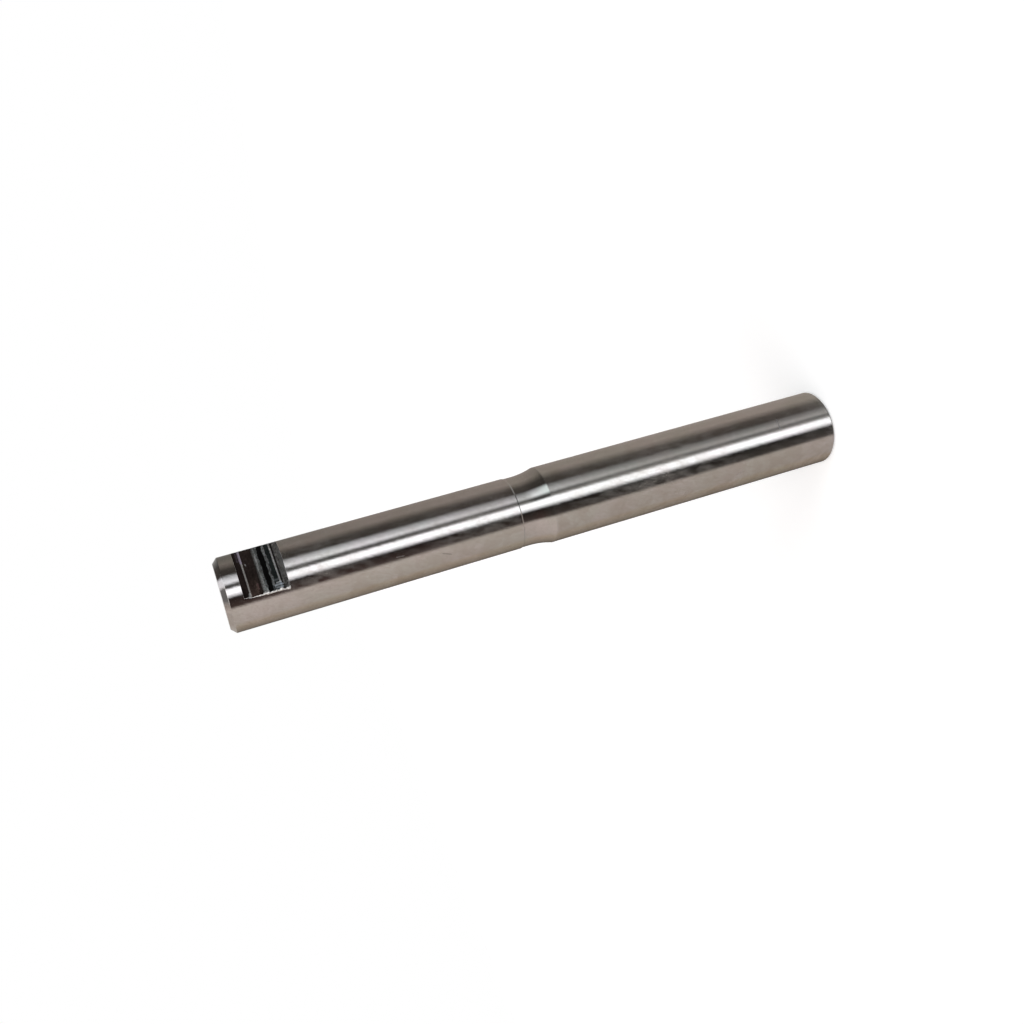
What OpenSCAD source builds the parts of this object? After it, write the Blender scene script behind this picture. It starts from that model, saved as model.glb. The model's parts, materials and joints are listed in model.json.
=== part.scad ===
// Turned steel axle, made in one piece from bar.
// The axis is +Z. The plain end stands on z = 0 and the notched end is on top.
// The keeper notch faces -Y.

/* [Body] */
// Diameter of the thick body
body_d = 65; // [45:0.5:100]
// Length of the whole axle, end face to end face
overall_len = 540; // [420:5:900]
// Chamfer of the plain end, at 45 degrees
plain_chamfer = 2; // [0.5:0.25:5]

/* [Journal] */
// How far the notched journal lies below the body, on the radius
shoulder_step = 2.5; // [1:0.25:8]
// Length of the journal, from the notched end face to the relief
journal_len = 240; // [120:5:300]
// Chamfer of the notched end, at 45 degrees
end_chamfer = 4; // [1:0.25:8]

/* [Relief and shoulder] */
// How far the relief lies below the journal, on the radius
relief_depth = 0.5; // [0.2:0.05:1.5]
// Length of the small ramp from the journal down to the relief
relief_ramp = 0.8; // [0.3:0.1:2]
// Length of the straight relief
relief_len = 7; // [2:0.5:12]
// Radius of the hollow flare that runs up to the body
flare_r = 70; // [20:1:90]

/* [Keeper notch] */
// Distance from the notched end face to the near wall of the notch
notch_start = 15; // [9:0.5:40]
// Length of the notch along the axis
notch_len = 35; // [15:0.5:60]
// Depth of the notch at its middle, below the journal
notch_depth = 11; // [4:0.5:16]
// Radius of the inner corners along the floor of the notch
notch_corner_r = 0.6; // [0.3:0.1:1.5]

/* [Hidden] */
$fn = 128;
body_r = body_d / 2;
journal_r = body_r - shoulder_step;
relief_r = journal_r - relief_depth;
// Heights along the axis, from the plain end up
journal_z = overall_len - journal_len;
flare_top_z = journal_z - relief_ramp - relief_len;
// The flare is an arc that starts level with the relief and ends in the edge of the body
flare_centre_r = relief_r + flare_r;
flare_edge = flare_centre_r - body_r;
flare_len = sqrt(flare_r * flare_r - flare_edge * flare_edge);
shoulder_z = flare_top_z - flare_len;
// The notch is a flat across the journal between two square walls
notch_top_z = overall_len - notch_start;
notch_bottom_z = notch_top_z - notch_len;
notch_floor = journal_r - notch_depth;
// Cutting blocks reach this far past the surface they cut
past = 4;

// Thick body from the plain end up to the shoulder edge
module body() {
    cylinder(h = plain_chamfer, r1 = body_r - plain_chamfer, r2 = body_r);
    translate([0, 0, plain_chamfer])
        cylinder(h = shoulder_z - plain_chamfer, r = body_r);
}

// Hollow flare from the shoulder edge down to the relief
module flare() {
    difference() {
        translate([0, 0, shoulder_z])
            cylinder(h = flare_len, r = body_r);
        translate([0, 0, flare_top_z])
            rotate_extrude()
                translate([flare_centre_r, 0])
                    circle(r = flare_r);
    }
}

// Straight relief and its ramp up to the journal
module relief() {
    translate([0, 0, flare_top_z])
        cylinder(h = relief_len, r = relief_r);
    translate([0, 0, journal_z - relief_ramp])
        cylinder(h = relief_ramp, r1 = relief_r, r2 = journal_r);
}

// Journal with the chamfer of the notched end
module journal() {
    translate([0, 0, journal_z])
        cylinder(h = journal_len - end_chamfer, r = journal_r);
    translate([0, 0, overall_len - end_chamfer])
        cylinder(h = end_chamfer, r1 = journal_r, r2 = journal_r - end_chamfer);
}

// Space of the notch: a block with its two inner edges rounded
module notch() {
    width = 2 * (journal_r + past);
    reach = notch_depth + past;
    difference() {
        translate([-width / 2, -notch_floor - reach, notch_bottom_z])
            cube([width, reach, notch_len]);
        notch_corner(notch_bottom_z, 1);
        notch_corner(notch_top_z, -1);
    }
}

// What stays in one inner corner of the notch: a square strip less a round bar
module notch_corner(wall_z, side) {
    width = 2 * (journal_r + 2 * past);
    strip = notch_corner_r + past;
    translate([-width / 2, -notch_floor, wall_z])
        difference() {
            translate([0, -notch_corner_r, side > 0 ? -past : -notch_corner_r])
                cube([width, strip, strip]);
            translate([-past, -notch_corner_r, side * notch_corner_r])
                rotate([0, 90, 0])
                    cylinder(h = width + 2 * past, r = notch_corner_r);
        }
}

// The whole axle, one solid
module axle() {
    color([0.62, 0.61, 0.59])
        difference() {
            union() {
                body();
                flare();
                relief();
                journal();
            }
            notch();
        }
}

axle();
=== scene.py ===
"""Dressed scene of a turned steel axle with a keeper notch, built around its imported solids."""

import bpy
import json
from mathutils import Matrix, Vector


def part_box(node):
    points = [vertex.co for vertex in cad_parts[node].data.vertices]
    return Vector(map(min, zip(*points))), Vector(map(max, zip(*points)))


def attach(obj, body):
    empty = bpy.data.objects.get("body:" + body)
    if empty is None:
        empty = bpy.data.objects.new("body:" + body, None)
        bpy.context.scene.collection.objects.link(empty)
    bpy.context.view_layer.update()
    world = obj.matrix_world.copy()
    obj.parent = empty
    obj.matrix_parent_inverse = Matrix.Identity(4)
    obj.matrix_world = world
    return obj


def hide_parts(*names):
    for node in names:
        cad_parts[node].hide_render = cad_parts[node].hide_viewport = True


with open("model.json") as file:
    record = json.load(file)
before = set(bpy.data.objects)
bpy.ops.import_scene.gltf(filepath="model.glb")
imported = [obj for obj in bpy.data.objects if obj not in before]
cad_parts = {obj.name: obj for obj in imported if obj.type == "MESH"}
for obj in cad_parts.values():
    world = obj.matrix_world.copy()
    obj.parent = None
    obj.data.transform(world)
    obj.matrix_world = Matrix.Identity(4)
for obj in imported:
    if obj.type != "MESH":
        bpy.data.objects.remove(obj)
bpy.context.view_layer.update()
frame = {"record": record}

import json
import logging
import math
from dataclasses import dataclass, field
from enum import Enum
from typing import Any, Callable, Iterable, Sequence

import bmesh
import bpy
from mathutils import Matrix, Vector

LOG = logging.getLogger("axle")
MM = 0.001
Pair = tuple[float, float]
Triple = tuple[float, float, float]
Colour = Triple
# The low and the high end of a value, and what stands for it at those two ends.
Span = tuple[float, float, float, float]
Stops = list[tuple[float, Colour]]
Socket = bpy.types.NodeSocket


class SmoothAngle(Enum):
    """Largest angle, in degrees, over which neighbouring faces are shaded as one."""

    TURNED = 3.0
    ROUGH = 60.0


class Where(Enum):
    """Which finish a face of the axle takes; the value is its material index."""

    TURNED = 0
    MILLED = 1


@dataclass(frozen=True)
class Noise:
    """Settings of one noise texture.

    Attributes:
        scale: Lumps in a metre, the same all round or along x, y and z.
        detail: Number of finer layers.
        roughness: Strength of the finer layers.
        warp: How far the texture is distorted.
    """

    scale: float | Triple
    detail: float
    roughness: float
    warp: float = 0.0


class NodeBench:
    """A node tree with short calls to add and join its nodes."""

    def __init__(self, tree: bpy.types.NodeTree) -> None:
        """Takes the tree and empties it.

        Args:
            tree: The shader, world or geometry tree to fill.
        """
        self.tree = tree
        tree.nodes.clear()

    def add(self, kind: str, props: dict[str, Any] | None = None, **sockets: Any) -> bpy.types.Node:
        """Adds one node.

        Args:
            kind: The node's type name.
            props: Values of the node's own properties.
            **sockets: Inputs by name with spaces as underscores, or by number as i0, i1:
                a socket is linked and anything else becomes the input's value.

        Returns:
            The new node.
        """
        node = self.tree.nodes.new(kind)
        for name, value in (props or {}).items():
            setattr(node, name, value)
        for name, value in sockets.items():
            by_number = name[0] == "i" and name[1:].isdigit()
            self.feed(node.inputs[int(name[1:]) if by_number else name.replace("_", " ")], value)
        return node

    def feed(self, socket: Socket, value: Any) -> None:
        """Links a socket to an input, or writes a plain value into it."""
        if isinstance(value, bpy.types.NodeSocket):
            self.tree.links.new(value, socket)
        else:
            socket.default_value = value

    def math(self, operation: str, first: Any, second: Any = None) -> Socket:
        """Adds a Math node and returns its result."""
        sockets = {"i0": first} if second is None else {"i0": first, "i1": second}
        return self.add("ShaderNodeMath", {"operation": operation}, **sockets).outputs[0]

    def total(self, first: Any, *others: Any) -> Socket:
        """Adds up two or more numbers and returns the sum."""
        for other in others:
            first = self.math("ADD", first, other)
        return first

    def product(self, first: Any, *others: Any) -> Socket:
        """Multiplies two or more numbers and returns the product."""
        for other in others:
            first = self.math("MULTIPLY", first, other)
        return first

    def remap(self, value: Any, low: Any, high: Any, to_low: Any = 0.0, to_high: Any = 1.0) -> Socket:
        """Adds a clamped Map Range node and returns its result."""
        sockets = {"i0": value, "i1": low, "i2": high, "i3": to_low, "i4": to_high}
        return self.add("ShaderNodeMapRange", {"clamp": True}, **sockets).outputs[0]

    def window(self, value: Socket, low: float, high: float, soft: float) -> Socket:
        """Gives 1 between two values and 0 outside them, with soft sides."""
        rise = self.remap(value, low - soft, low)
        return self.product(rise, self.remap(value, high, high + soft, 1.0, 0.0))

    def mix(self, share: Any, first: Any, second: Any, blend: str = "MIX") -> Socket:
        """Adds a colour Mix node and returns its result."""
        node = self.add("ShaderNodeMix", {"data_type": "RGBA", "blend_type": blend})
        for place, value in ((0, share), (6, first), (7, second)):
            plain = isinstance(value, tuple) and len(value) == 3
            self.feed(node.inputs[place], (*value, 1.0) if plain else value)
        return node.outputs[2]

    def ramp(self, share: Socket, stops: Stops) -> Socket:
        """Adds a colour ramp with the given stops and returns its colour."""
        node = self.add("ShaderNodeValToRGB", Fac=share)
        elements = node.color_ramp.elements
        elements.remove(elements[-1])
        for k, (place, colour) in enumerate(stops):
            stop = elements.new(place) if k else elements[0]
            stop.position, stop.color = place, (*colour, 1.0)
        return node.outputs[0]

    def noise(self, vector: Socket, noise: Noise) -> Socket:
        """Adds a noise texture, stretched where its scale differs by direction."""
        scale = noise.scale
        if isinstance(scale, tuple):
            vector = self.add("ShaderNodeMapping", Vector=vector, Scale=scale).outputs[0]
            scale = 1.0
        return self.add(
            "ShaderNodeTexNoise", Vector=vector, Scale=scale, Detail=noise.detail,
            Roughness=noise.roughness, Distortion=noise.warp,
        ).outputs[0]

    def vector(self, operation: str, first: Any, second: Any = None, output: str = "Vector") -> Socket:
        """Adds a Vector Math node and returns its result."""
        sockets = {"i0": first} if second is None else {"i0": first, "i1": second}
        return self.add("ShaderNodeVectorMath", {"operation": operation}, **sockets).outputs[output]

    def scaled(self, vector: Any, factor: Socket) -> Socket:
        """Multiplies a vector by a number."""
        return self.add("ShaderNodeVectorMath", {"operation": "SCALE"}, i0=vector, Scale=factor).outputs[0]

    def split(self, vector: Socket) -> Any:
        """Splits a vector into its outputs X, Y and Z."""
        return self.add("ShaderNodeSeparateXYZ", i0=vector).outputs

    def joined(self, x: Any, y: Any, z: Any) -> Socket:
        """Joins three numbers to a vector."""
        return self.add("ShaderNodeCombineXYZ", i0=x, i1=y, i2=z).outputs[0]

    def stroke(self, place: Socket, start: Vector, end: Vector, half: float, soft: float) -> Socket:
        """Gives 1 along a straight stroke between two points and 0 away from it.

        Args:
            place: The shaded point.
            start: One end of the stroke, in metres.
            end: Its other end.
            half: Half its width.
            soft: Width of its soft rim.

        Returns:
            The share of the stroke at the shaded point.
        """
        run = end - start
        away = self.vector("SUBTRACT", place, tuple(start))
        along = self.vector("DOT_PRODUCT", away, tuple(run / run.length_squared), "Value")
        nearest = self.scaled(tuple(run), self.remap(along, 0.0, 1.0))
        gap = self.vector("LENGTH", self.vector("SUBTRACT", away, nearest), output="Value")
        return self.remap(gap, half, half + soft, 1.0, 0.0)

    def bump(self, height: Socket, depth: float, strength: Any, under: Socket | None = None) -> Socket:
        """Adds a Bump node of a depth in millimetres, over another normal where one is given."""
        sockets = {"Strength": strength, "Distance": depth * MM, "Height": height}
        if under is not None:
            sockets["Normal"] = under
        return self.add("ShaderNodeBump", **sockets).outputs[0]

    def metal(self, colour: Socket, rough: Socket, normal: Socket, metallic: Any = 1.0) -> None:
        """Adds a metal's shader and the material's output."""
        shader = self.add(
            "ShaderNodeBsdfPrincipled", Base_Color=colour, Metallic=metallic, Roughness=rough, Normal=normal
        )
        self.add("ShaderNodeOutputMaterial", Surface=shader.outputs[0])

    def named(self, name: str) -> Socket:
        """Reads the number that each point of a mesh has under a name."""
        return self.add("GeometryNodeInputNamedAttribute", {"data_type": "FLOAT"}, i0=name).outputs[0]

    def deliver(self, made: Socket, steel: Socket) -> None:
        """Ends a geometry tree: what was made is realized and gets its material."""
        made = self.add("GeometryNodeRealizeInstances", Geometry=made).outputs[0]
        made = self.add("GeometryNodeSetMaterial", Geometry=made, Material=steel).outputs[0]
        self.add("NodeGroupOutput", i0=made)


def new_material(name: str) -> tuple[bpy.types.Material, NodeBench]:
    """Makes an empty node material and its bench."""
    material = bpy.data.materials.new(name)
    material.use_nodes = True
    return material, NodeBench(material.node_tree)


def plain_mesh(
    name: str, points: Iterable[Sequence[float]], edges: Iterable[tuple[int, int]]
) -> bpy.types.Object:
    """Makes an object of points and edges at the origin.

    Args:
        name: Name of the object and its mesh.
        points: The points, in metres.
        edges: Pairs of point numbers.

    Returns:
        The linked object.
    """
    mesh = bpy.data.meshes.new(name)
    mesh.from_pydata([tuple(p) for p in points], list(edges), [])
    piece = bpy.data.objects.new(name, mesh)
    bpy.context.scene.collection.objects.link(piece)
    return piece


def point_values(piece: bpy.types.Object, name: str, values: Sequence[float]) -> None:
    """Writes one number per point of a mesh as a named attribute."""
    layer = piece.data.attributes.new(name, "FLOAT", "POINT")
    layer.data.foreach_set("value", list(values))


def geometry_tree(name: str, inputs: dict[str, str]) -> bpy.types.NodeTree:
    """Makes an empty Geometry Nodes group with named inputs.

    Args:
        name: Name of the group.
        inputs: Input name to socket type, after the geometry.

    Returns:
        The group.
    """
    tree = bpy.data.node_groups.new(name, "GeometryNodeTree")
    tree.interface.new_socket("Geometry", in_out="INPUT", socket_type="NodeSocketGeometry")
    for label, kind in inputs.items():
        tree.interface.new_socket(label, in_out="INPUT", socket_type=kind)
    tree.interface.new_socket("Geometry", in_out="OUTPUT", socket_type="NodeSocketGeometry")
    return tree


def run_tree(piece: bpy.types.Object, tree: bpy.types.NodeTree, values: dict[str, Any]) -> None:
    """Runs a Geometry Nodes group on a piece and keeps the result as its plain mesh.

    Args:
        piece: The object whose mesh feeds the group.
        tree: The group.
        values: Input name to value.
    """
    modifier = piece.modifiers.new(tree.name, "NODES")
    sockets = {s.name: s.identifier for s in tree.interface.items_tree if s.in_out == "INPUT"}
    modifier.node_group = tree
    for label, value in values.items():
        modifier[sockets[label]] = value
    bpy.context.view_layer.update()
    graph = bpy.context.evaluated_depsgraph_get()
    made = bpy.data.meshes.new_from_object(piece.evaluated_get(graph), depsgraph=graph)
    piece.modifiers.remove(modifier)
    # A grid primitive brings an empty first slot, so the slots are listed again.
    made.materials.clear()
    for value in values.values():
        if isinstance(value, bpy.types.Material):
            made.materials.append(value)
    made.polygons.foreach_set("material_index", [0] * len(made.polygons))
    old, piece.data = piece.data, made
    made.name = piece.name
    bpy.data.meshes.remove(old)


def outward(piece: bpy.types.Object, angle: SmoothAngle) -> None:
    """Turns a closed mesh's faces outwards and shades it smooth up to an angle."""
    shell = bmesh.new()
    shell.from_mesh(piece.data)
    bmesh.ops.recalc_face_normals(shell, faces=shell.faces)
    shell.to_mesh(piece.data)
    shell.free()
    piece.data.shade_smooth()
    piece.data.set_sharp_from_angle(angle=math.radians(angle.value))


@dataclass(frozen=True)
class CutterPass:
    """One cross-wise pass of the cutter over the notch floor, or a small step between two passes.

    Attributes:
        start: Distance of its first side from the wall nearest the end face, in millimetres.
        end: Distance of its other side.
        lift: Height above the nominal floor at the start, in millimetres.
        lift_end: Height above the nominal floor at the end, in millimetres.
        colour: Colour of its metal, partly its dull milled finish and partly painted reflection: the
            near-black, teal and near-white passes stand for what the flat reflects.
        roughness: Sheen of its metal.
    """

    start: float
    end: float
    lift: float
    lift_end: float
    colour: Colour
    roughness: float


# Pass colours are partly the milled finish and partly painted reflection: their darkness, tints and the
# near-white step stand for the surroundings that each pass reflects.
PASSES: tuple[CutterPass, ...] = (
    CutterPass(0.6, 4.9, 0.55, 0.50, (0.17, 0.14, 0.14), 0.12),
    CutterPass(4.9, 6.2, 0.50, -0.05, (0.42, 0.43, 0.43), 0.16),
    CutterPass(6.2, 15.0, -0.05, -0.05, (0.205, 0.17, 0.165), 0.18),
    CutterPass(15.0, 15.9, 0.00, 0.00, (0.30, 0.31, 0.31), 0.34),
    CutterPass(15.9, 17.5, 0.02, 0.02, (0.66, 0.69, 0.69), 0.40),
    CutterPass(17.5, 19.3, 0.00, 0.00, (0.33, 0.36, 0.36), 0.38),
    CutterPass(19.3, 23.2, -0.10, -0.10, (0.045, 0.05, 0.055), 0.10),
    CutterPass(23.2, 25.3, -0.05, -0.05, (0.44, 0.47, 0.48), 0.40),
    CutterPass(25.3, 28.6, -0.10, -0.10, (0.15, 0.205, 0.225), 0.14),
    CutterPass(28.6, 29.9, -0.10, -0.40, (0.95, 0.98, 0.99), 0.50),
    CutterPass(29.9, 31.2, -0.40, -0.40, (0.14, 0.15, 0.16), 0.14),
    CutterPass(31.2, 34.4, -0.35, -0.35, (0.34, 0.335, 0.325), 0.38),
)


@dataclass(frozen=True)
class Mark:
    """A small straight mark on a surface of the axle.

    Attributes:
        start: One end, as the surface's own two coordinates.
        end: The other end.
        half: Half its width, in millimetres.
        colour: Colour of the metal in it.
        share: How strongly it covers what lies under it.
    """

    start: Pair
    end: Pair
    half: float
    colour: Colour
    share: float


# Scratches of the turned surface: angle from the notch in degrees, height in millimetres.
SCRATCHES: tuple[Mark, ...] = (
    Mark((-52.6, 406.5), (-53.8, 400.5), 0.12, (0.85, 0.84, 0.82), 0.6),
    Mark((-68.5, 369.7), (-73.5, 363.0), 0.22, (0.22, 0.20, 0.18), 0.75),
    Mark((-10.0, 52.0), (-26.0, 53.2), 0.25, (0.15, 0.16, 0.17), 0.7),
    Mark((-50.0, 306.5), (-46.0, 302.5), 0.15, (0.70, 0.69, 0.67), 0.35),
    Mark((-51.5, 303.5), (-48.0, 300.5), 0.15, (0.70, 0.69, 0.67), 0.35),
    Mark((-84.0, 150.0), (-92.0, 152.0), 0.20, (0.24, 0.21, 0.18), 0.5),
    Mark((-75.0, 95.0), (-79.0, 101.0), 0.20, (0.26, 0.24, 0.22), 0.5),
)

# Bright smears and scuffs of the notch floor, partly real marks and partly painted reflection in their
# near-white, bluish and violet colours: x, distance below the upper wall, in millimetres.
SMEARS_AND_REFLECTIONS: tuple[Mark, ...] = (
    Mark((-22.5, 23.7), (-18.5, 23.5), 0.6, (0.05, 0.055, 0.06), 0.85),
    Mark((-22.5, 18.4), (-18.5, 18.2), 0.5, (0.62, 0.63, 0.61), 0.7),
    Mark((22.0, 3.3), (13.0, 3.2), 0.8, (0.25, 0.21, 0.28), 0.6),
    Mark((23.0, 5.2), (11.0, 5.3), 0.9, (0.49, 0.44, 0.56), 0.8),
    Mark((-19.5, 4.9), (-23.0, 4.4), 0.8, (0.62, 0.64, 0.64), 0.85),
    Mark((-15.8, 29.6), (-16.0, 26.4), 0.45, (0.90, 0.94, 0.97), 0.95),
    Mark((-18.1, 25.6), (-17.9, 30.2), 0.85, (0.74, 0.80, 0.86), 0.9),
    Mark((-20.5, 26.0), (-20.3, 30.0), 0.80, (0.66, 0.72, 0.78), 0.85),
    Mark((-13.2, 26.2), (-13.2, 27.6), 1.0, (0.40, 0.43, 0.45), 0.6),
    Mark((9.0, 8.0), (8.0, 8.3), 0.35, (0.75, 0.76, 0.76), 0.8),
    Mark((-12.0, 12.4), (-17.0, 12.6), 0.60, (0.34, 0.18, 0.17), 0.5),
)


@dataclass(frozen=True)
class MarkLayer:
    """Marks that lie on one surface of the axle.

    Attributes:
        marks: The marks.
        to_point: Gives the point, in metres, of one end of a mark.
        soft: Width of a mark's soft rim, in millimetres.
        rough: How much rougher the metal is in a mark.
    """

    marks: Sequence[Mark]
    to_point: Callable[[Pair], Vector]
    soft: float
    rough: float

    def lay(self, bench: NodeBench, place: Socket, colour: Socket, rough: Socket) -> tuple[Socket, Socket]:
        """Lays the marks over a metal.

        Args:
            bench: The material's tree.
            place: The shaded point.
            colour: Colour of the metal under the marks.
            rough: Roughness of the metal under the marks.

        Returns:
            The colour and the roughness with the marks.
        """
        for mark in self.marks:
            ends = self.to_point(mark.start), self.to_point(mark.end)
            covered = bench.product(bench.stroke(place, *ends, mark.half * MM, self.soft * MM), mark.share)
            colour = bench.mix(covered, colour, mark.colour)
            rough = bench.total(rough, bench.product(covered, self.rough))
        return colour, rough


@dataclass(frozen=True)
class TurnedSteel:
    """Bright turned steel: turning lines, facing rings on the upper end, fine waves, film, stains, scratches.

    Lengths are in millimetres. A side is a share of the body's radius towards the stained side.
    """

    length: float
    body_r: float
    journal_r: float
    shoulder: float
    name: str = "turned_steel"

    # Colours
    colour: Colour = (0.605, 0.585, 0.56)
    stain: Colour = (0.48, 0.435, 0.39)
    smoky: Colour = (0.285, 0.315, 0.295)
    tarnish: Colour = (0.56, 0.565, 0.515)
    rosy: Colour = (0.63, 0.585, 0.57)

    # Textures
    lines: Noise = Noise((5.0, 5.0, 2600.0), 3.0, 0.6)
    rings: Noise = Noise(480.0, 2.0, 0.6)
    blotches: Noise = Noise(55.0, 7.0, 0.62, 0.5)
    grain: Noise = Noise(620.0, 4.0, 0.75)
    drift: Noise = Noise(24.0, 3.0, 0.55)
    rubbed: Noise = Noise((210.0, 210.0, 75.0), 5.0, 0.62, 0.1)
    fine: Noise = Noise((620.0, 620.0, 34.0), 4.0, 0.65)
    waves: Noise = Noise((330.0, 330.0, 130.0), 2.0, 0.5)
    rubbed_axis: Triple = (-0.755, -0.656, 0.0)
    rubbed_turn: float = math.radians(11.0)
    scratched_turn: float = math.radians(36.0)

    # Places
    faced_depths: Pair = (0.1, 0.05)
    clean_zone: Pair = (271.5, 300.0)
    clean_soft: float = 2.0
    clean_share: float = 0.25
    smoky_heights: Pair = (430.0, 530.0)
    edge_half: float = 0.15
    edge_soft: float = 0.25
    stained_side: Triple = (-0.956, 0.292, 0.0)
    film_side: Span = (-0.24, 0.5, 0.55, 1.0)
    lain_side: Span = (0.55, 0.95, 0.3, 1.0)
    smoky_side: Span = (-0.8, -0.4, 1.0, 0.0)
    film_lengths: tuple[Pair, ...] = (
        (0.0, 0.35), (80.0, 0.15), (160.0, 1.0), (240.0, 0.5), (275.0, 0.15),
        (340.0, 0.75), (410.0, 0.2), (465.0, 0.9), (515.0, 0.1), (540.0, 0.05),
    )

    # How much each layer covers
    film_cover: Span = (0.38, 0.64, 0.0, 1.75)
    film_grain: Span = (0.3, 0.7, 0.5, 1.5)
    film_stain: Span = (0.0, 1.6, 0.0, 0.7)
    film_metal: Span = (0.0, 2.0, 1.0, 0.7)
    stain_cover: Span = (0.42, 0.62, 0.0, 0.8)
    streak_cover: Span = (0.52, 0.70, 0.0, 0.75)
    tarnish_cover: Span = (0.46, 0.60, 0.0, 0.6)
    rosy_cover: Span = (0.40, 0.52, 0.7, 0.0)
    grain_cover: Span = (0.5, 0.75, 0.0, 0.5)
    ring_cover: Span = (0.45, 0.65, 0.0, 0.5)
    edge_wear: Span = (0.35, 0.6, 0.2, 0.5)

    # Roughness and relief
    line_rough: Span = (0.2, 0.8, 0.07, 0.10)
    fine_rough: Span = (0.3, 0.7, -0.01, 0.025)
    ring_rough: Span = (0.3, 0.7, -0.02, 0.12)
    film_rough: float = 0.03
    edge_rough: float = 0.12
    mark_rough: float = 0.4
    mark_soft: float = 0.3
    line_depth: float = 0.02
    line_strength: float = 0.25
    grain_depth: float = 0.02
    wave_depth: float = 0.04

    def build(self) -> bpy.types.Material:
        """Builds the node material.

        Returns:
            The material.
        """
        material, bench = new_material(self.name)
        place = bench.add("ShaderNodeTexCoord").outputs["Object"]
        spot = bench.split(place)
        height = bench.math("DIVIDE", spot["Z"], MM)
        reach = bench.vector("LENGTH", bench.vector("MULTIPLY", place, (1.0, 1.0, 0.0)), output="Value")
        side = bench.vector("DOT_PRODUCT", place, self.stained_side, "Value")
        side = bench.math("DIVIDE", side, self.body_r * MM)

        # The tool moves up along a turned length and inwards across a faced end.
        feed = bench.math("SUBTRACT", spot["Z"], reach)
        lines = bench.noise(bench.joined(spot["X"], spot["Y"], feed), self.lines)
        rings = bench.noise(bench.joined(0.0, 0.0, reach), self.rings)
        blotches, grain, drift = (bench.noise(place, kind) for kind in (self.blotches, self.grain, self.drift))
        slanted, scratched = (
            bench.add(
                "ShaderNodeVectorRotate", {"rotation_type": "AXIS_ANGLE"},
                Vector=place, Axis=self.rubbed_axis, Angle=turn,
            ).outputs[0]
            for turn in (self.rubbed_turn, self.scratched_turn)
        )
        rubbed = bench.noise(slanted, self.rubbed)
        fine, waves = (bench.noise(scratched, kind) for kind in (self.fine, self.waves))

        # Shares of the layers
        faced = bench.remap(height, *(self.length - depth for depth in self.faced_depths))
        clean = bench.window(height, *self.clean_zone, self.clean_soft)
        used = bench.remap(clean, 0.0, 1.0, 1.0, self.clean_share)
        along = bench.math("DIVIDE", height, self.length)
        spread = bench.ramp(along, [(z / self.length, (share,) * 3) for z, share in self.film_lengths])
        spread = bench.product(spread, bench.remap(side, *self.film_side))
        patchy = bench.product(bench.remap(rubbed, *self.film_cover), spread)
        film = bench.product(patchy, bench.remap(grain, *self.film_grain))
        lain = bench.product(bench.remap(side, *self.lain_side), used)
        smoke = bench.product(bench.remap(side, *self.smoky_side), bench.remap(height, *self.smoky_heights))
        edge = self.shoulder - self.edge_half, self.shoulder + self.edge_half
        wear_and_painted_light = bench.product(bench.window(height, *edge, self.edge_soft), bench.remap(grain, *self.edge_wear))

        colour: Any = self.colour
        for share, layer in (
            (bench.remap(drift, *self.tarnish_cover), self.tarnish),
            (bench.remap(drift, *self.rosy_cover), self.rosy),
            (bench.product(bench.remap(blotches, *self.stain_cover), lain), self.stain),
            (bench.remap(patchy, *self.film_stain), self.stain),
            (bench.product(bench.remap(fine, *self.streak_cover), lain), self.stain),
            (bench.remap(grain, *self.grain_cover), self.stain),
            (smoke, self.smoky),
            (bench.product(faced, bench.remap(rings, *self.ring_cover)), self.stain),
        ):
            colour = bench.mix(share, colour, layer)
        rough = bench.total(
            bench.remap(lines, *self.line_rough),
            bench.product(patchy, self.film_rough),
            bench.product(wear_and_painted_light, self.edge_rough),
            bench.remap(fine, *self.fine_rough),
            bench.product(faced, bench.remap(rings, *self.ring_rough)),
        )
        scratches = MarkLayer(SCRATCHES, self.on_surface, self.mark_soft, self.mark_rough)
        colour, rough = scratches.lay(bench, place, colour, rough)
        normal = bench.bump(waves, self.wave_depth, used)
        normal = bench.bump(grain, self.grain_depth, used, normal)
        normal = bench.bump(lines, self.line_depth, self.line_strength, normal)
        dulled = bench.total(bench.product(film, used), wear_and_painted_light)
        bench.metal(colour, rough, normal, bench.remap(dulled, *self.film_metal))
        return material

    def on_surface(self, spot: Pair) -> Vector:
        """Gives the point, in metres, at an angle from the notch in degrees and a height."""
        angle = math.radians(spot[0])
        r = self.body_r if spot[1] < self.shoulder else self.journal_r
        return Vector((r * math.sin(angle), -r * math.cos(angle), spot[1])) * MM


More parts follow.
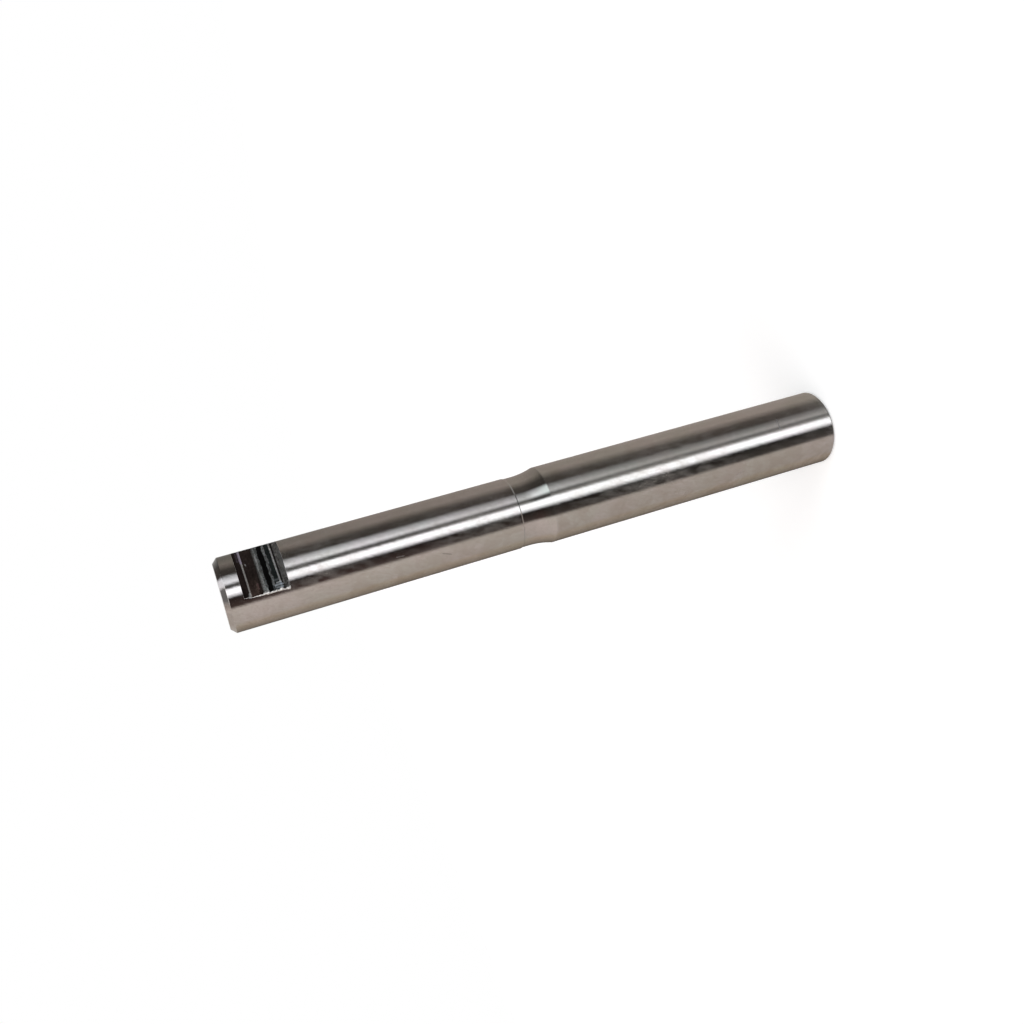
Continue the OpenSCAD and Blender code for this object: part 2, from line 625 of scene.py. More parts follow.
@dataclass(frozen=True)
class MilledSteel:
    """Steel of the keeper notch: cross-wise cutter passes, each with its own colour and sheen, the colours
    partly the milled finish and partly painted reflection and shade.

    Lengths are in millimetres. Zones are distances below the upper wall, and sides are along x.
    """

    top: float
    length: float
    floor: float
    name: str = "milled_steel"

    # Colours
    # corner: painted shade, near black in the rounded inner corner at the upper wall
    corner: Colour = (0.06, 0.05, 0.05)
    # Painted light: a lighter brownish patch on the third pass, brightest towards -x
    wear_and_painted_light: Colour = (0.48, 0.37, 0.34)
    # Painted shade: dark on the sloped step between the last passes, beyond x = -16 mm
    step_shade: Colour = (0.10, 0.12, 0.14)

    # Textures
    lines: Noise = Noise((22.0, 22.0, 3200.0), 3.0, 0.6)
    speckle: Noise = Noise(1100.0, 3.0, 0.75)
    patches: Noise = Noise((130.0, 130.0, 380.0), 4.0, 0.65)
    waves: Noise = Noise(130.0, 3.0, 0.65)

    # Places
    # How far below the upper wall the painted corner shade reaches
    corner_shade_end: float = 0.9
    pass_soft: float = 0.15
    wall_rim: float = 0.4
    wall_soft: float = 0.2
    wavy_zone: Pair = (19.0, 26.0)
    wavy_soft: float = 0.6
    # Where the painted light lies on the third pass, and how it fades out towards +x
    lit_patch_zone: Pair = (6.6, 12.0)
    lit_patch_soft: float = 1.2
    lit_patch_side: Span = (-18.0, -5.0, 1.0, 0.0)
    step_shade_zone: Pair = (28.4, 30.2)
    step_shade_soft: float = 0.2
    step_shade_side: Span = (-16.2, -15.6, 1.0, 0.0)

    # How far the passes' sides wave, outside and inside the wavy zone
    waviness: Pair = (0.1, 1.1)
    wave_swing: Span = (0.2, 0.8, -1.0, 1.0)
    # How strongly the metal is speckled, on the walls and on the floor
    speckling: Pair = (0.35, 1.7)
    speckle_ends: Pair = (0.36, 0.64)
    patch_shade: Span = (0.3, 0.7, 0.55, 1.4)

    # Roughness and relief
    line_rough: Span = (0.2, 0.8, -0.03, 0.03)
    speckle_rough: Span = (0.35, 0.7, -0.35, 0.35)
    mark_rough: float = 0.35
    mark_soft: float = 0.35
    line_depth: float = 0.04
    line_strength: float = 0.3

    def stops(self, rough: bool) -> Stops:
        """Lists the ramp stops of the passes.

        Args:
            rough: True for the passes' roughness, False for their colours.

        Returns:
            Places from 0 to 1 over the notch's length, with what the ramp gives there.
        """
        # The ramp begins with the painted shade of the corner.
        made = [(0.0, (PASSES[0].roughness,) * 3 if rough else self.corner)]
        for cut in PASSES:
            value = (cut.roughness,) * 3 if rough else cut.colour
            start = max(cut.start + self.pass_soft, self.corner_shade_end)
            made += [(at / self.length, value) for at in (start, cut.end - self.pass_soft)]
        return made

    def on_floor(self, spot: Pair) -> Vector:
        """Gives the point, in metres, at an x and a distance below the upper wall."""
        return Vector((spot[0], -self.floor, self.top - spot[1])) * MM

    def build(self) -> bpy.types.Material:
        """Builds the node material.

        Returns:
            The material.
        """
        material, bench = new_material(self.name)
        place = bench.add("ShaderNodeTexCoord").outputs["Object"]
        spot = bench.split(place)
        across = bench.math("DIVIDE", spot["X"], MM)
        down = bench.math("SUBTRACT", self.top, bench.math("DIVIDE", spot["Z"], MM))

        # The cutter's lines run across the floor and, on the two walls, level with the floor.
        feed = bench.total(spot["Z"], spot["Y"])
        lines = bench.noise(bench.joined(spot["X"], spot["Y"], feed), self.lines)
        speckle, patches, waves = (
            bench.noise(place, kind) for kind in (self.speckle, self.patches, self.waves)
        )

        # Passes
        wavy = bench.window(down, *self.wavy_zone, self.wavy_soft)
        swing = bench.remap(wavy, 0.0, 1.0, *self.waviness)
        shift = bench.product(bench.remap(waves, *self.wave_swing), swing)
        along = bench.math("DIVIDE", bench.total(down, shift), self.length)
        colour, sheen = (bench.ramp(along, self.stops(rough)) for rough in (False, True))

        # A painted pool of light: the third pass is made lighter towards its -x side.
        wear_and_painted_light = bench.window(down, *self.lit_patch_zone, self.lit_patch_soft)
        wear_and_painted_light = bench.product(wear_and_painted_light, bench.remap(across, *self.lit_patch_side))
        colour = bench.mix(wear_and_painted_light, colour, self.wear_and_painted_light)
        inside = bench.window(down, self.wall_rim, self.length - self.wall_rim, self.wall_soft)
        swing = bench.product(sheen, bench.remap(inside, 0.0, 1.0, *self.speckling))
        least, most = bench.math("SUBTRACT", 1.0, swing), bench.total(1.0, swing)
        speckled = bench.remap(speckle, *self.speckle_ends, least, most)
        shade = bench.product(bench.remap(patches, *self.patch_shade), speckled)
        colour = bench.mix(1.0, colour, shade, "MULTIPLY")
        # Painted shade on the step, on its -x side.
        step = bench.window(down, *self.step_shade_zone, self.step_shade_soft)
        step = bench.product(step, bench.remap(across, *self.step_shade_side))
        colour = bench.mix(step, colour, self.step_shade)
        rough = bench.total(
            sheen,
            bench.remap(lines, *self.line_rough),
            bench.product(bench.remap(speckle, *self.speckle_rough), sheen),
        )
        # Smears and scuffs, their near-white, bluish and violet colours partly painted reflection.
        smears_and_reflections = MarkLayer(SMEARS_AND_REFLECTIONS, self.on_floor, self.mark_soft, self.mark_rough)
        colour, rough = smears_and_reflections.lay(bench, place, colour, rough)
        bench.metal(colour, rough, bench.bump(lines, self.line_depth, self.line_strength))
        return material


@dataclass(frozen=True)
class BurrSteel:
    """Raw metal of the burr that the cutter left along the notch; its near-white colour is partly painted
    highlight, brighter than steel so that the burr glints.
    """

    name: str = "burr_steel"
    # Near-white: partly painted highlight of the burr's glints
    colour: Colour = (0.97, 0.95, 0.92)
    dark: Colour = (0.60, 0.57, 0.53)
    lumps: Noise = Noise(700.0, 4.0, 0.7)
    dark_lumps: Pair = (0.52, 0.75)
    lump_rough: Span = (0.3, 0.7, 0.5, 0.75)
    lump_depth: float = 0.2
    lump_strength: float = 0.6

    def build(self) -> bpy.types.Material:
        """Builds the node material.

        Returns:
            The material.
        """
        material, bench = new_material(self.name)
        lumps = bench.noise(bench.add("ShaderNodeTexCoord").outputs["Object"], self.lumps)
        colour = bench.mix(bench.remap(lumps, *self.dark_lumps), self.colour, self.dark)
        normal = bench.bump(lumps, self.lump_depth, self.lump_strength)
        bench.metal(colour, bench.remap(lumps, *self.lump_rough), normal)
        return material


@dataclass
class TurnedAxle:
    """The axle itself: one turned profile, with the flat keeper notch cut across its journal.

    Sizes are in millimetres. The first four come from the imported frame.
    """

    length: float
    body_r: float
    journal_r: float
    floor: float
    relief_depth: float = 0.5
    journal_len: float = 240.0
    relief_ramp: float = 0.8
    relief_len: float = 7.0
    flare_r: float = 70.0
    plain_chamfer: float = 2.0
    end_chamfer: float = 4.0
    notch_start: float = 15.0
    notch_len: float = 35.0
    notch_corner: float = 0.6
    edge_break: float = 0.15

    # Mesh: how finely it is divided, and the share of an edge break along each axis
    columns: int = 256
    row_step: float = 12.0
    flare_rings: int = 26
    corner_steps: int = 4
    plain_face: tuple[float, ...] = (0.0, 9.0, 18.0, 26.0)
    end_face: tuple[float, ...] = (20.0, 13.0, 6.0, 0.0)
    bevel: float = 0.7
    uncut: float = 1000.0
    least_cosine: float = 0.05
    weld: float = 0.002
    notch_slack: float = 0.001
    notch_skin: float = 0.02
    rows: list[Triple] = field(default_factory=list)

    @classmethod
    def from_frame(cls) -> "TurnedAxle":
        """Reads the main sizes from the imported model's box and mounts."""
        low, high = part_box("axle")
        mounts = {mount["name"]: mount for mount in frame["record"]["mounts"]}
        return cls(
            length=(high.z - low.z) / MM,
            body_r=mounts["body_seat"]["dims"]["r_mm"],
            journal_r=mounts["journal"]["dims"]["r_mm"],
            floor=-mounts["notch_floor"]["pos_m"][1] / MM,
        )

    @property
    def relief_r(self) -> float:
        """Radius of the relief below the journal."""
        return self.journal_r - self.relief_depth

    @property
    def journal_z(self) -> float:
        """Height of the journal's lower end."""
        return self.length - self.journal_len

    @property
    def notch_top(self) -> float:
        """Height of the notch's upper wall."""
        return self.length - self.notch_start

    @property
    def notch_bottom(self) -> float:
        """Height of the notch's lower wall."""
        return self.notch_top - self.notch_len

    @property
    def half_angle(self) -> float:
        """Half the angle that the nominal notch takes out of the journal."""
        return math.acos(self.floor / self.journal_r)

    @property
    def flare_top(self) -> float:
        """Height where the flare meets the relief."""
        return self.journal_z - self.relief_ramp - self.relief_len

    @property
    def shoulder_z(self) -> float:
        """Height of the shoulder edge."""
        side = self.relief_r + self.flare_r - self.body_r
        return self.flare_top - math.sqrt(self.flare_r**2 - side**2)

    def floor_at(self, down: float) -> float:
        """Gives the floor's distance from the axis at a distance below the upper wall."""
        for cut in PASSES:
            if down <= cut.end:
                share = max(0.0, (down - cut.start) / (cut.end - cut.start))
                return self.floor + cut.lift + (cut.lift_end - cut.lift) * share
        return self.floor + PASSES[-1].lift_end

    def ring(self, r: float, z: float, flat: float | None = None) -> None:
        """Adds one ring of the profile.

        Args:
            r: Radius.
            z: Height.
            flat: Distance of a flat from the axis, where the ring is cut.
        """
        self.rows.append((r, z, self.uncut if flat is None else flat))

    def straight(self, r: float, low: float, high: float) -> None:
        """Adds rings of one radius between two heights, both included."""
        count = max(1, round((high - low) / self.row_step))
        for k in range(count + 1):
            self.ring(r, low + (high - low) * k / count)

    def turned_rings(self) -> None:
        """Lists the rings from the plain end up to the notch."""
        inner, slant = self.body_r - self.plain_chamfer, self.bevel * self.edge_break
        for r in (*self.plain_face, inner - self.edge_break):
            self.ring(r, 0.0)
        self.ring(inner + slant, slant)
        self.ring(self.body_r - slant, self.plain_chamfer - slant)
        self.straight(self.body_r, self.plain_chamfer + self.edge_break, self.shoulder_z - self.edge_break)
        centre_r, centre_z = self.relief_r + self.flare_r, self.flare_top
        sweep = math.asin((centre_z - self.shoulder_z) / self.flare_r)
        for k in range(self.flare_rings + 1):
            angle = sweep * (1.0 - k / self.flare_rings)
            self.ring(centre_r - self.flare_r * math.cos(angle), centre_z - self.flare_r * math.sin(angle))
        self.ring(self.relief_r, self.journal_z - self.relief_ramp)
        self.straight(self.journal_r, self.journal_z, self.notch_bottom)

    def corner_rings(self, wall: float, inward: float, edge: float) -> list[Pair]:
        """Gives height and flat of the rings that round one inner corner of the notch.

        Args:
            wall: Height of the wall.
            inward: Direction from the wall into the notch, 1 or -1.
            edge: Distance of the floor from the axis beside the corner.

        Returns:
            The rings from the wall towards the floor.
        """
        corner = self.notch_corner
        turns = [0.5 * math.pi * k / self.corner_steps for k in range(self.corner_steps)]
        return [
            (wall + inward * corner * (1 - math.cos(turn)), edge + corner * (1 - math.sin(turn)))
            for turn in turns
        ]

    def notch_rings(self) -> None:
        """Lists the rings of the notch, from its lower wall up to its upper wall."""
        for z, flat in self.corner_rings(self.notch_bottom, 1.0, self.floor + PASSES[-1].lift_end):
            self.ring(self.journal_r, z, flat)
        for cut in reversed(PASSES):
            for at, lift in ((cut.end, cut.lift_end), (cut.start, cut.lift)):
                self.ring(self.journal_r, self.notch_top - at, self.floor + lift)
        for z, flat in reversed(self.corner_rings(self.notch_top, -1.0, self.floor + PASSES[0].lift)):
            self.ring(self.journal_r, z, flat)

    def end_rings(self) -> None:
        """Lists the rings above the notch, up to the middle of the end face."""
        inner, slant = self.journal_r - self.end_chamfer, self.bevel * self.edge_break
        chamfer_z = self.length - self.end_chamfer
        self.straight(self.journal_r, self.notch_top, chamfer_z - self.edge_break)
        self.ring(self.journal_r - slant, chamfer_z + slant)
        self.ring(inner + slant, self.length - slant)
        for r in (inner - self.edge_break, *self.end_face):
            self.ring(r, self.length)

    def tree(self) -> bpy.types.NodeTree:
        """Builds the group that turns the profile about +Z and cuts the flat.

        Returns:
            The group. Each point of the profile is one ring: its x is the radius, its z the height.
        """
        tree = geometry_tree(
            "turn_profile",
            {
                "Columns": "NodeSocketInt",
                "Notch Half Angle": "NodeSocketFloat",
                "Notch Column Angle": "NodeSocketFloat",
                "Weld Distance": "NodeSocketFloat",
                "Steel": "NodeSocketMaterial",
            },
        )
        bench = NodeBench(tree)
        given = bench.add("NodeGroupInput").outputs
        profile = given["Geometry"]
        rows = bench.add("GeometryNodeAttributeDomainSize", {"component": "MESH"}, i0=profile).outputs[0]
        columns = bench.total(given["Columns"], 1.0)
        grid = bench.add("GeometryNodeMeshGrid", i0=1.0, i1=1.0, i2=columns, i3=rows).outputs["Mesh"]
        where = bench.add("GeometryNodeInputPosition").outputs[0]
        spot = bench.split(where)
        along = bench.product(bench.total(spot["Y"], 0.5), bench.math("SUBTRACT", rows, 1.0))
        row = bench.math("ROUND", along)
        flat = self.sample(bench, profile, bench.named("flat"), row, "FLOAT")
        ring = bench.split(self.sample(bench, profile, where, row, "FLOAT_VECTOR"))

        # Columns are spaced so that one falls on each edge of the notch.
        turn = bench.product(spot["X"], 2.0 * math.pi)
        size = bench.math("ABSOLUTE", turn)
        inner = bench.remap(size, 0.0, given["Notch Column Angle"], 0.0, given["Notch Half Angle"])
        rest = bench.math("SUBTRACT", math.pi, given["Notch Half Angle"])
        outer = bench.remap(size, given["Notch Column Angle"], math.pi, 0.0, rest)
        angle = bench.product(bench.total(inner, outer), bench.math("SIGN", turn))
        cosine = bench.math("COSINE", angle)
        reach = bench.math("DIVIDE", flat, bench.math("MAXIMUM", cosine, self.least_cosine))
        radius = bench.math("MINIMUM", ring["X"], reach)
        point = bench.joined(
            bench.product(radius, bench.math("SINE", angle)), bench.product(radius, cosine, -1.0), ring["Z"]
        )
        made = bench.add("GeometryNodeSetPosition", Geometry=grid, Position=point).outputs[0]
        made = bench.add("GeometryNodeMergeByDistance", Geometry=made, Distance=given["Weld Distance"])
        bench.deliver(made.outputs[0], given["Steel"])
        return tree

    @staticmethod
    def sample(bench: NodeBench, source: Socket, value: Socket, row: Socket, kind: str) -> Socket:
        """Reads a value of the profile's point with a given number."""
        props = {"data_type": kind, "domain": "POINT"}
        return bench.add("GeometryNodeSampleIndex", props, Geometry=source, Value=value, Index=row).outputs[0]

    def build(self) -> bpy.types.Object:
        """Builds the axle's mesh.

        Returns:
            The axle, closed and with its faces outwards.
        """
        self.turned_rings()
        self.notch_rings()
        self.end_rings()
        piece = plain_mesh("axle_turned", [(r * MM, 0.0, z * MM) for r, z, _ in self.rows], [])
        point_values(piece, "flat", [flat * MM for *_, flat in self.rows])
        step = 2.0 * math.pi / self.columns
        run_tree(piece, self.tree(), {
            "Columns": self.columns,
            "Notch Half Angle": self.half_angle,
            "Notch Column Angle": round(self.half_angle / step) * step,
            "Weld Distance": self.weld * MM,
            "Steel": TurnedSteel(self.length, self.body_r, self.journal_r, self.shoulder_z).build(),
        })
        outward(piece, SmoothAngle.TURNED)
        return piece

    def dress(self, piece: bpy.types.Object) -> None:
        """Gives the faces of the notch the milled finish.

        Args:
            piece: The axle from build.
        """
        piece.data.materials.append(MilledSteel(self.notch_top, self.notch_len, self.floor).build())
        low, high = (self.notch_bottom - self.notch_slack) * MM, (self.notch_top + self.notch_slack) * MM
        inside = (self.journal_r - self.notch_skin) * MM
        for face in piece.data.polygons:
            spot = face.center
            cut = low <= spot.z <= high and math.hypot(spot.x, spot.y) < inside
            face.material_index = (Where.MILLED if cut else Where.TURNED).value


@dataclass
class NotchBurr:
    """Thin raised burr along the edges of the notch, heaviest on one long edge near the lower wall.

    Sizes are in millimetres. Beads are radii, and distances are below the notch's upper wall.
    """

    axle: TurnedAxle
    thin: float = 0.14
    wall: float = 0.05
    heavy: float = 0.75
    heavy_from: float = 6.0
    heavy_over: float = 10.0
    knob: float = 0.45
    knobs: tuple[Pair, ...] = ((34.2, 1.3), (28.5, 0.9), (18.0, 1.1))
    lump: float = 2.4
    lumps: Noise = Noise(420.0, 4.0, 0.7)
    waviness: float = 2.2
    least: float = 0.03
    sunk: float = 0.08
    steps: int = 90
    sides: int = 8

    def tree(self) -> bpy.types.NodeTree:
        """Builds the group that lays an uneven bead along the edges.

        Returns:
            The group. The bead's radius is the "bead" attribute of each point.
        """
        tree = geometry_tree(
            "lay_burr",
            {
                "Lump": "NodeSocketFloat",
                "Waviness": "NodeSocketFloat",
                "Lumps Per Metre": "NodeSocketFloat",
                "Least Radius": "NodeSocketFloat",
                "Sides": "NodeSocketInt",
                "Steel": "NodeSocketMaterial",
            },
        )
        bench = NodeBench(tree)
        given = bench.add("NodeGroupInput").outputs
        curve = bench.add("GeometryNodeMeshToCurve", i0=given["Geometry"]).outputs[0]
        noise = bench.add(
            "ShaderNodeTexNoise", Vector=bench.add("GeometryNodeInputPosition").outputs[0],
            Scale=given["Lumps Per Metre"], Detail=self.lumps.detail, Roughness=self.lumps.roughness,
        ).outputs
        bead = bench.named("bead")
        swing = bench.product(bench.math("SUBTRACT", noise[0], 0.5), given["Lump"])
        radius = bench.product(bead, bench.total(1.0, swing))
        radius = bench.math("MAXIMUM", radius, given["Least Radius"])
        wave = bench.vector("SUBTRACT", noise[1], (0.5, 0.5, 0.5))
        shift = bench.scaled(wave, bench.product(bead, given["Waviness"]))
        curve = bench.add("GeometryNodeSetPosition", Geometry=curve, Offset=shift).outputs[0]
        curve = bench.add("GeometryNodeSetCurveRadius", i0=curve, Radius=radius).outputs[0]
        rim = bench.add("GeometryNodeCurvePrimitiveCircle", Resolution=given["Sides"], Radius=1.0).outputs[0]
        made = bench.add(
            "GeometryNodeCurveToMesh", Curve=curve, Profile_Curve=rim, Fill_Caps=True,
            Scale=bench.add("GeometryNodeInputRadius").outputs[0],
        )
        bench.deliver(made.outputs[0], given["Steel"])
        return tree

    def bead(self, down: float) -> float:
        """Gives the radius of the heavy burr at a distance below the upper wall."""
        share = min(1.0, max(0.0, (down - self.heavy_from) / self.heavy_over))
        swell = sum(self.knob * math.exp(-(((down - at) / wide) ** 2)) for at, wide in self.knobs)
        return self.thin + (self.heavy - self.thin) * share + swell

    def build(self) -> bpy.types.Object:
        """Builds the burr along the two long edges and the two end edges.

        Returns:
            The burr.
        """
        axle = self.axle
        points: list[Triple] = []
        edges: list[tuple[int, int]] = []
        beads: list[float] = []

        def run(path: list[Triple]) -> None:
            """Adds one edge, given as angle from the notch's middle, height and bead radius."""
            for k, (angle, z, bead) in enumerate(path):
                if k:
                    edges.append((len(points) - 1, len(points)))
                r = axle.journal_r - self.sunk
                points.append((r * math.sin(angle) * MM, -r * math.cos(angle) * MM, z * MM))
                beads.append(bead * MM)

        def half(down: float) -> float:
            """Gives half the notch's angle at a distance below its upper wall."""
            return math.acos(axle.floor_at(down) / axle.journal_r)

        downs = [axle.notch_len * k / self.steps for k in range(self.steps + 1)]
        run([(-half(down), axle.notch_top - down, self.bead(down)) for down in downs])
        run([(half(down), axle.notch_top - down, self.thin) for down in downs])
        for down in (0.0, axle.notch_len):
            turns = [half(down) * (2.0 * k / self.steps - 1.0) for k in range(self.steps + 1)]
            run([(turn, axle.notch_top - down, self.wall) for turn in turns])
        piece = plain_mesh("notch_burr", points, edges)
        point_values(piece, "bead", beads)
        run_tree(piece, self.tree(), {
            "Lump": self.lump,
            "Waviness": self.waviness,
            "Lumps Per Metre": self.lumps.scale,
            "Least Radius": self.least * MM,
            "Sides": self.sides,
            "Steel": BurrSteel().build(),
        })
        outward(piece, SmoothAngle.ROUGH)
        return piece


class Tint(Enum):
    """Colour of a light, as its red, green and blue beside those of a grey one."""

    NEUTRAL = (1.0, 1.0, 1.0)
    COOL = (0.97, 1.0, 1.07)
    ICY = (0.89, 1.0, 1.04)
    PALE = (1.03, 0.985, 0.965)
    WARM = (1.09, 0.985, 0.925)
    TAN = (1.12, 0.99, 0.90)
    OCHRE = (1.17, 1.0, 0.83)
    BROWN = (1.36, 0.88, 0.79)


class Level(Enum):
    """Height of a light in the studio, as seen from the axle."""

    LOW = "well below the horizon"
    MIDDLE = "at the horizon"
    HIGH = "a little above the horizon"


@dataclass(frozen=True)
class Light:
    """Light at one angle of a ring round the axle.

    Attributes:
        angle: Degrees from the viewer's side.
        level: How bright it is.
        tint: Its colour.
    """

    angle: float
    level: float
    tint: Tint = Tint.NEUTRAL

    def stop(self) -> tuple[float, Colour]:
        """Gives the light as a stop of a ramp that runs round the axle."""
        red, green, blue = self.tint.value
        return self.angle / 360.0 + 0.5, (self.level * red, self.level * green, self.level * blue)


@dataclass(frozen=True)
class Strip:
    """One upright strip of the studio round the axle: a lamp, a wall, a table or a dark gap.

    Attributes:
        start: Angle where the strip begins, in degrees from the viewer's side.
        end: Angle where it ends.
        middle: Its light at its two sides, at the horizon.
        low: The same, well below the horizon.
        high: The same, a little above the horizon.
        tint: Colour of its light.
        low_tint: Colour of its light well below the horizon, where that differs.
        high_tint: Colour of its light above the horizon, where that differs.
    """

    start: float
    end: float
    middle: Pair
    low: Pair
    high: Pair
    tint: Tint = Tint.NEUTRAL
    low_tint: Tint | None = None
    high_tint: Tint | None = None

    def stops(self, level: Level) -> Stops:
        """Gives the ramp stops of the strip's two sides, at one level."""
        lights = {Level.LOW: self.low, Level.MIDDLE: self.middle, Level.HIGH: self.high}[level]
        tint = {Level.LOW: self.low_tint, Level.HIGH: self.high_tint}.get(level) or self.tint
        return [Light(angle, light, tint).stop() for angle, light in zip((self.start, self.end), lights)]


BACKDROP: Pair = (1.0, 1.0)
LAMP: Pair = (2.0, 2.0)
STRIPS: tuple[Strip, ...] = (
    Strip(-180.0, -178.0, BACKDROP, BACKDROP, BACKDROP),
    Strip(-171.0, -114.0, (0.06, 0.44), (0.06, 0.40), (0.51, 0.54), Tint.OCHRE, Tint.OCHRE, Tint.WARM),
    Strip(-98.0, -47.0, (0.54, 0.63), (0.475, 0.53), (0.64, 0.62), Tint.WARM),
    Strip(-37.5, -11.5, (0.055, 0.015), (0.055, 0.015), (0.055, 0.015), Tint.BROWN, Tint.TAN, Tint.TAN),
    Strip(1.2, 12.5, LAMP, LAMP, LAMP, Tint.COOL),
    Strip(18.5, 25.5, (0.10, 0.07), (0.50, 0.14), (0.10, 0.08)),
    Strip(34.5, 50.0, (1.35, 0.64), (0.51, 0.23), (1.36, 1.26), Tint.COOL, Tint.NEUTRAL, Tint.ICY),
    Strip(59.0, 77.0, (0.045, 0.06), (0.07, 0.10), (0.04, 0.04), Tint.TAN),
    Strip(104.0, 138.0, (0.27, 0.26), (0.37, 0.35), (0.03, 0.07), Tint.TAN),
    Strip(139.0, 170.0, (0.26, 0.24), (0.35, 0.33), (0.08, 0.50), Tint.TAN, Tint.TAN, Tint.PALE),
    Strip(178.0, 180.0, BACKDROP, BACKDROP, BACKDROP),
)
# Ceiling over the strips
OVERHEAD: tuple[Light, ...] = (
    Light(-180.0, 0.62, Tint.WARM), Light(-114.0, 0.66, Tint.WARM),
    Light(-106.0, 0.34, Tint.TAN), Light(-96.0, 0.28, Tint.TAN),
    Light(-82.0, 1.7), Light(82.0, 1.7), Light(98.0, 1.1, Tint.COOL), Light(180.0, 1.1, Tint.COOL),
)
# Table under the strips
BELOW: tuple[Light, ...] = (
    Light(-180.0, 0.36), Light(40.0, 0.36), Light(72.0, 1.1),
    Light(98.0, 1.1), Light(112.0, 0.42), Light(180.0, 0.36),
)
# Ground straight below
UNDERFOOT: tuple[Light, ...] = (
    Light(-180.0, 0.40, Tint.WARM), Light(-20.0, 0.40, Tint.WARM), Light(20.0, 0.06), Light(180.0, 0.06),
)


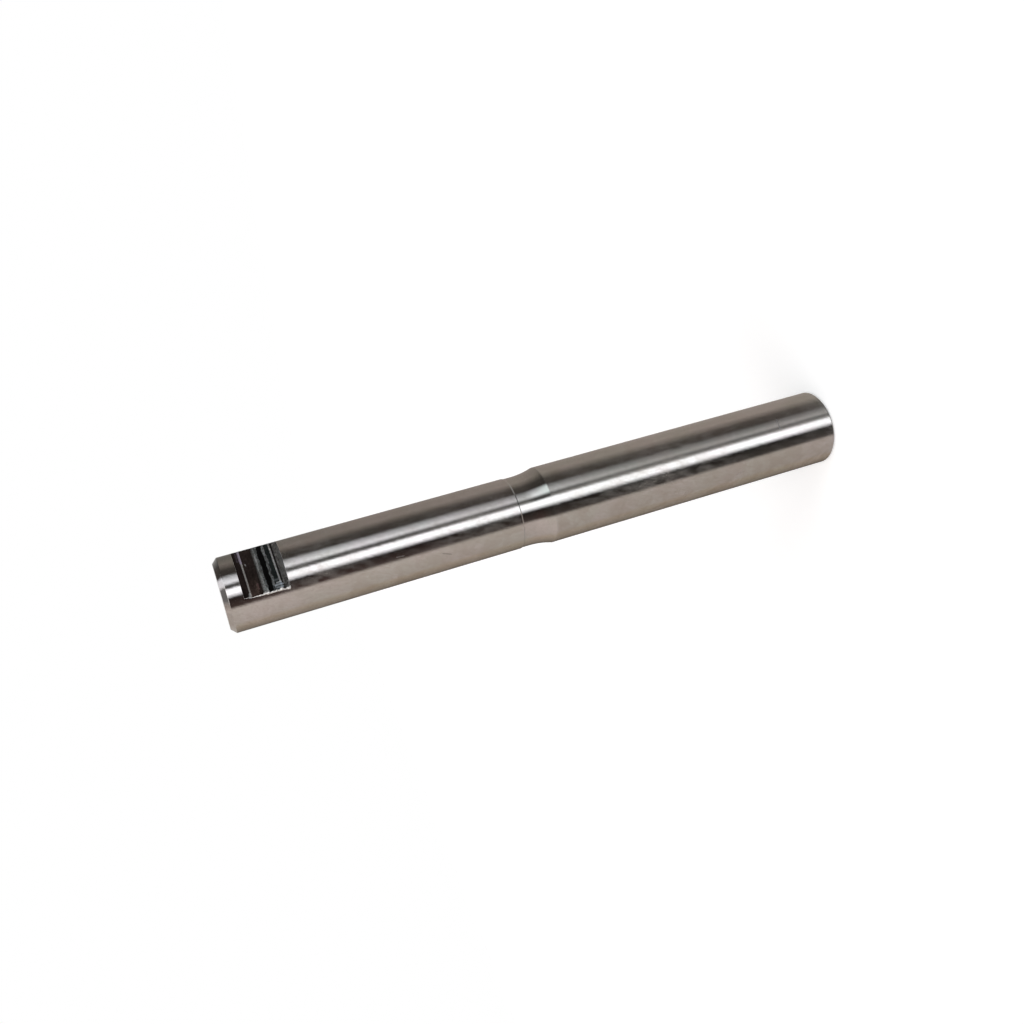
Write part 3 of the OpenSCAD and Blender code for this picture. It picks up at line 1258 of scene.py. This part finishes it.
@dataclass
class Studio:
    """Pale floor, soft surroundings and the camera at the picture's viewing angle.

    The picture's sizes are in pixels, the camera's place in millimetres and the rises in degrees.
    """

    image_side: float = 1024.0
    focal_px: float = 1049.79
    vanish_px: Pair = (3891.52, -457.07)
    axis_twist: float = -0.001352
    distance: float = 836.27
    beyond_end: float = 7.73
    notch_turn: float = math.radians(37.3)
    sensor: float = 36.0
    clip: Pair = (0.01, 50.0)
    floor_half: float = 3.0
    floor_colour: Colour = (0.88, 0.88, 0.88)
    floor_lift: float = 0.39

    # Rises over which one level of the surroundings passes into the next
    foot_rise: Pair = (-63.0, -57.0)
    below_rise: Pair = (-48.0, -33.0)
    middle_rise: Pair = (-25.0, -6.0)
    high_rise: Pair = (-3.0, 14.0)
    zenith_rise: Pair = (75.0, 80.0)
    zenith: float = 0.20
    # Rise where the ceiling starts, by the share of a full turn from the viewer's side
    ceiling_rise: Span = (0.2, 0.26, 41.0, 60.0)
    ceiling_soft: float = 4.0

    def camera(self, axle: TurnedAxle) -> bpy.types.Object:
        """Makes the camera from the axle's vanishing point and its distance.

        Args:
            axle: The axle that the camera looks at.

        Returns:
            The camera, set as the scene's own.
        """
        middle = self.image_side / 2.0
        axis = Vector((*((px - middle) / self.focal_px for px in self.vanish_px), 1.0)).normalized()
        ahead = Vector((0.0, 0.0, 1.0))
        square = (ahead - ahead.dot(axis) * axis).normalized()
        reach = math.cos(self.axis_twist) * square + math.sin(self.axis_twist) * axis.cross(square)
        seen = (axis, reach, axis.cross(reach))
        turn = self.notch_turn
        real = (
            Vector((0.0, 0.0, -1.0)), Vector((math.sin(turn), math.cos(turn), 0.0)),
            Vector((math.cos(turn), -math.sin(turn), 0.0)),
        )

        def to_row(part: int) -> Vector:
            """Gives one of the picture's directions (right, down, ahead) in the row frame."""
            return sum((r * s[part] for r, s in zip(real, seen)), Vector((0.0, 0.0, 0.0)))

        right, down, forward = to_row(0), to_row(1), to_row(2)
        foot = Vector((0.0, 0.0, axle.length + self.beyond_end))
        spot = (foot - self.distance * real[1]) * MM
        data = bpy.data.cameras.new("picture_camera")
        data.sensor_fit = "HORIZONTAL"
        data.sensor_width = self.sensor
        data.lens = self.sensor * self.focal_px / self.image_side
        data.clip_start, data.clip_end = self.clip
        eye = bpy.data.objects.new("picture_camera", data)
        turned = Matrix((right, -down, -forward)).transposed()
        eye.matrix_world = Matrix.Translation(spot) @ turned.to_4x4()
        bpy.context.scene.collection.objects.link(eye)
        bpy.context.scene.camera = eye
        return eye

    def floor(self) -> bpy.types.Object:
        """Makes the pale floor that the axle stands on.

        Returns:
            The floor.
        """
        half = self.floor_half
        mesh = bpy.data.meshes.new("floor")
        corners = [(-half, -half, 0.0), (half, -half, 0.0), (half, half, 0.0), (-half, half, 0.0)]
        mesh.from_pydata(corners, [], [(0, 1, 2, 3)])
        floor = bpy.data.objects.new("floor", mesh)
        bpy.context.scene.collection.objects.link(floor)
        material, bench = new_material("pale_floor")
        seen = bench.add("ShaderNodeLightPath").outputs["Is Camera Ray"]
        matt = bench.add("ShaderNodeBsdfDiffuse", Color=(*self.floor_colour, 1.0))
        lift = bench.add("ShaderNodeEmission", Strength=bench.product(seen, self.floor_lift))
        both = bench.add("ShaderNodeAddShader", i0=matt.outputs[0], i1=lift.outputs[0])
        bench.add("ShaderNodeOutputMaterial", Surface=both.outputs[0])
        mesh.materials.append(material)
        floor.visible_glossy = False
        return floor

    def world(self) -> bpy.types.World:
        """Makes the soft surroundings, white where the camera looks past the axle.

        Returns:
            The scene's world.
        """
        world = bpy.data.worlds.new("studio")
        bpy.context.scene.world = world
        world.use_nodes = True
        bench = NodeBench(world.node_tree)
        way = bench.split(bench.add("ShaderNodeTexCoord").outputs["Generated"])
        azimuth = bench.math("ARCTAN2", way["X"], bench.product(way["Y"], -1.0))
        share = bench.math("DIVIDE", bench.total(azimuth, self.notch_turn + math.pi), 2.0 * math.pi)
        share = bench.math("FRACT", share)
        rise = bench.product(bench.math("ARCSINE", way["Z"]), 180.0 / math.pi)
        low, middle, high = (
            bench.ramp(share, [stop for strip in STRIPS for stop in strip.stops(level)]) for level in Level
        )
        above, below, foot = (
            bench.ramp(share, [light.stop() for light in ring]) for ring in (OVERHEAD, BELOW, UNDERFOOT)
        )
        away = bench.math("ABSOLUTE", bench.math("SUBTRACT", share, 0.5))
        starts = bench.remap(away, *self.ceiling_rise)

        light = bench.mix(bench.remap(rise, *self.middle_rise), low, middle)
        light = bench.mix(bench.remap(rise, *self.high_rise), light, high)
        light = bench.mix(bench.remap(rise, starts, bench.total(starts, self.ceiling_soft)), light, above)
        light = bench.mix(bench.remap(rise, *self.zenith_rise), light, (self.zenith,) * 3)
        light = bench.mix(bench.remap(rise, *self.below_rise), below, light)
        light = bench.mix(bench.remap(rise, *self.foot_rise), foot, light)
        seen = bench.add("ShaderNodeLightPath").outputs["Is Camera Ray"]
        shown = bench.mix(seen, light, (1.0, 1.0, 1.0))
        ground = bench.add("ShaderNodeBackground", Color=shown, Strength=1.0)
        bench.add("ShaderNodeOutputWorld", Surface=ground.outputs[0])
        return world


def main() -> None:
    """Builds the axle, its burr and the studio."""
    logging.basicConfig(level=logging.INFO, format="%(name)s: %(message)s")
    bpy.context.scene.view_settings.view_transform = "Standard"

    axle = TurnedAxle.from_frame()
    turned = axle.build()
    axle.dress(turned)
    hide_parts("axle")
    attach(turned, "root")
    LOG.info("%s: %d faces", turned.name, len(turned.data.polygons))

    burr = NotchBurr(axle).build()
    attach(burr, "root")
    LOG.info("%s: %d faces", burr.name, len(burr.data.polygons))

    studio = Studio()
    studio.world()
    studio.floor()
    studio.camera(axle)
    LOG.info("studio: %d strips", len(STRIPS))


if __name__ == "__main__":
    main()
